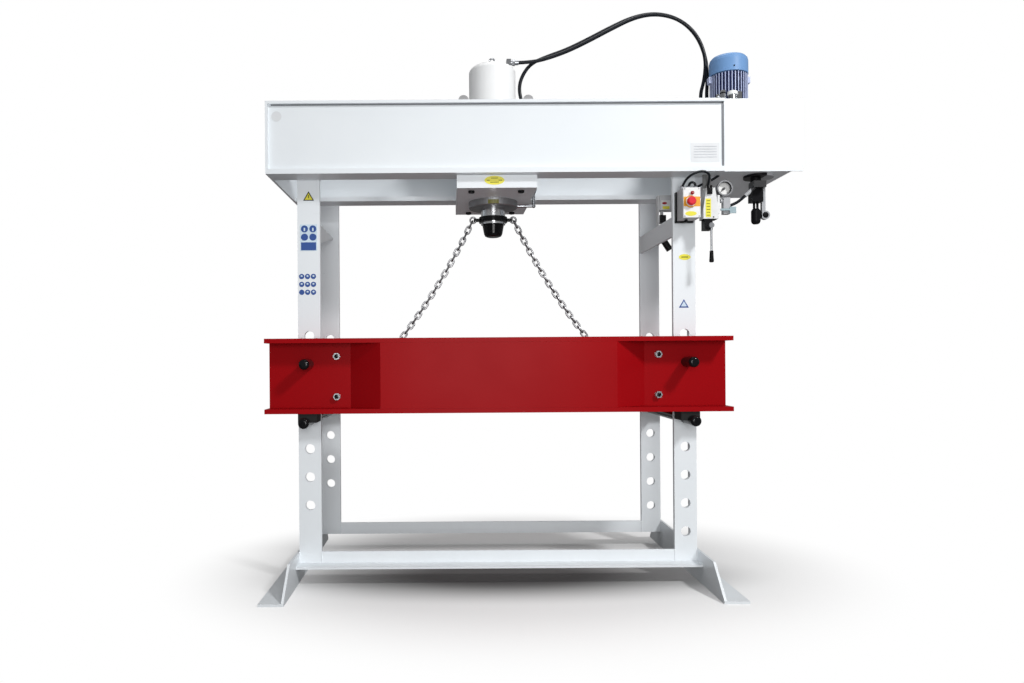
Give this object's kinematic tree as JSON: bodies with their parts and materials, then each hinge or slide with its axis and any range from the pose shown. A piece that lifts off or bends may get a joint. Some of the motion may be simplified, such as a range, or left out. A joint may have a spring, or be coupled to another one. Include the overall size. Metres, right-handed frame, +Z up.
{
  "type": "hydraulic workshop press",
  "caption": "Floor-standing hydraulic workshop press: welded double frame, pinned red table, sliding cylinder with lifting chains, motor pump unit, hand valve and gauge.",
  "frame": {"origin": "on the floor, below the middle of the footprint of table, tank and feet", "axes": "+X to the right of the person at the press, +Y away from them, +Z up"},
  "size_m": [2.22, 1.053, 2.5203],
  "materials": {
    "white_paint": "semi-gloss light grey white paint",
    "red_paint": "semi-gloss red paint",
    "black_steel": "blackened steel",
    "bright_steel": "machined",
    "zinc_steel": "zinc plated",
    "cast_metal": "cast, machined faces",
    "blue_paint": "blue paint on cast ribs",
    "hose_rubber": "smooth black hose cover",
    "seal_rubber": "black seal",
    "grey_plastic": "moulded",
    "white_plastic": "moulded",
    "red_plastic": "moulded, glossy",
    "valve_paint": "pale paint",
    "chromed_rod": "hard chrome"
  },
  "bodies": {
    "frame": {"front_upright_left": "white_paint", "front_upright_right": "white_paint", "rear_upright_left": "white_paint", "rear_upright_right": "white_paint", "front_top_beam": "white_paint", "rear_top_beam": "white_paint", "front_fascia": "white_paint", "beam_end_plate": "white_paint", "front_base_rail": "white_paint", "rear_base_rail": "white_paint", "left_foot": "white_paint", "right_foot": "white_paint", "right_side_tie": "white_paint", "left_side_tie": "white_paint", "table_front_beam": "red_paint", "table_rear_beam": "red_paint", "table_cover": "red_paint", "table_spacers": "red_paint", "table_tie_bolts": "zinc_steel", "table_pads": "black_steel", "tank": "white_paint", "pump": "cast_metal", "motor_adapter": "cast_metal", "motor_housing": "blue_paint", "fan_cover": "blue_paint", "pressure_hose": "hose_rubber", "return_hose": "hose_rubber", "valve_hose": "hose_rubber", "control_cables": "hose_rubber", "switch_boxes": "grey_plastic", "switch_cover": "white_plastic", "valve_body": "valve_paint", "gauge_case": "bright_steel", "pipework": "zinc_steel", "outlet_block": "black_steel"},
    "carriage": {"carriage_plate": "white_paint", "carriage_bolts": "zinc_steel", "cylinder_barrel": "white_paint", "cylinder_cap": "white_paint", "rod_gland": "white_paint", "rod_seals": "seal_rubber", "cylinder_fittings": "zinc_steel", "carriage_hangers": "white_paint"},
    "left_rollers": {"left_roller_set": "bright_steel"},
    "right_rollers": {"right_roller_set": "bright_steel"},
    "ram": {"ram_rod": "chromed_rod", "piston": "bright_steel", "ram_collar": "black_steel", "ram_nose": "black_steel", "left_chain": "zinc_steel", "right_chain": "zinc_steel"},
    "rotor": {"motor_rotor": "bright_steel"},
    "stop_button": {"stop_button": "red_plastic"},
    "valve_lever": {"valve_lever": "zinc_steel"},
    "gauge_needle": {"gauge_needle": "black_steel"},
    "shutoff_handle": {"shutoff_handle": "zinc_steel"},
    "upper_left_pin": {"upper_left_pin": "black_steel"},
    "upper_right_pin": {"upper_right_pin": "black_steel"},
    "lower_left_pin": {"lower_left_pin": "black_steel"},
    "lower_right_pin": {"lower_right_pin": "black_steel"}
  },
  "joints": [
    {"name": "carriage_slide", "type": "slide", "parent": "frame", "child": "carriage", "axis": [1, 0, 0], "range_m": [-0.25, 0.25], "deforming": ["pressure_hose", "return_hose"]},
    {"name": "ram_slide", "type": "slide", "parent": "carriage", "child": "ram", "axis": [0, 0, -1], "range_m": [0, 0.3], "deforming": ["left_chain", "right_chain"]},
    {"name": "left_rollers_turn", "type": "hinge", "parent": "carriage", "child": "left_rollers", "pos_m": [-0.283, 0, 2.0323], "axis": [0, 1, 0], "range_deg": [-660, 660]},
    {"name": "right_rollers_turn", "type": "hinge", "parent": "carriage", "child": "right_rollers", "pos_m": [-0.011, 0, 2.0323], "axis": [0, 1, 0], "range_deg": [-660, 660]},
    {"name": "rotor_spin", "type": "hinge", "parent": "frame", "child": "rotor", "pos_m": [0.904, -0.06, 2.1], "axis": [0, 0, 1], "continuous": true},
    {"name": "stop_button_press", "type": "slide", "parent": "frame", "child": "stop_button", "axis": [0, 1, 0], "range_m": [0, 0.006], "stiffness_N_per_m": 600},
    {"name": "valve_lever_swing", "type": "hinge", "parent": "frame", "child": "valve_lever", "pos_m": [0.734, -0.3, 1.49], "axis": [0, 1, 0], "range_deg": [-25, 25], "stiffness_Nm_per_rad": 2},
    {"name": "gauge_needle_turn", "type": "hinge", "parent": "frame", "child": "gauge_needle", "pos_m": [0.7945, -0.285, 1.645], "axis": [0, 1, 0], "range_deg": [0, 270], "stiffness_Nm_per_rad": 0.002},
    {"name": "shutoff_handle_turn", "type": "hinge", "parent": "frame", "child": "shutoff_handle", "pos_m": [0.805, -0.3, 1.556], "axis": [0, 1, 0], "range_deg": [0, 90]},
    {"name": "upper_left_pin_slide", "type": "slide", "parent": "frame", "child": "upper_left_pin", "axis": [0, -1, 0], "range_m": [0, 0.45]},
    {"name": "upper_right_pin_slide", "type": "slide", "parent": "frame", "child": "upper_right_pin", "axis": [0, -1, 0], "range_m": [0, 0.45]},
    {"name": "lower_left_pin_slide", "type": "slide", "parent": "frame", "child": "lower_left_pin", "axis": [0, -1, 0], "range_m": [0, 0.45]},
    {"name": "lower_right_pin_slide", "type": "slide", "parent": "frame", "child": "lower_right_pin", "axis": [0, -1, 0], "range_m": [0, 0.45]}
  ],
  "couplings": [
    {"joint": "left_rollers_turn", "follows": "carriage_slide", "rad_per_m": 45.455},
    {"joint": "right_rollers_turn", "follows": "carriage_slide", "rad_per_m": 45.455}
  ]
}
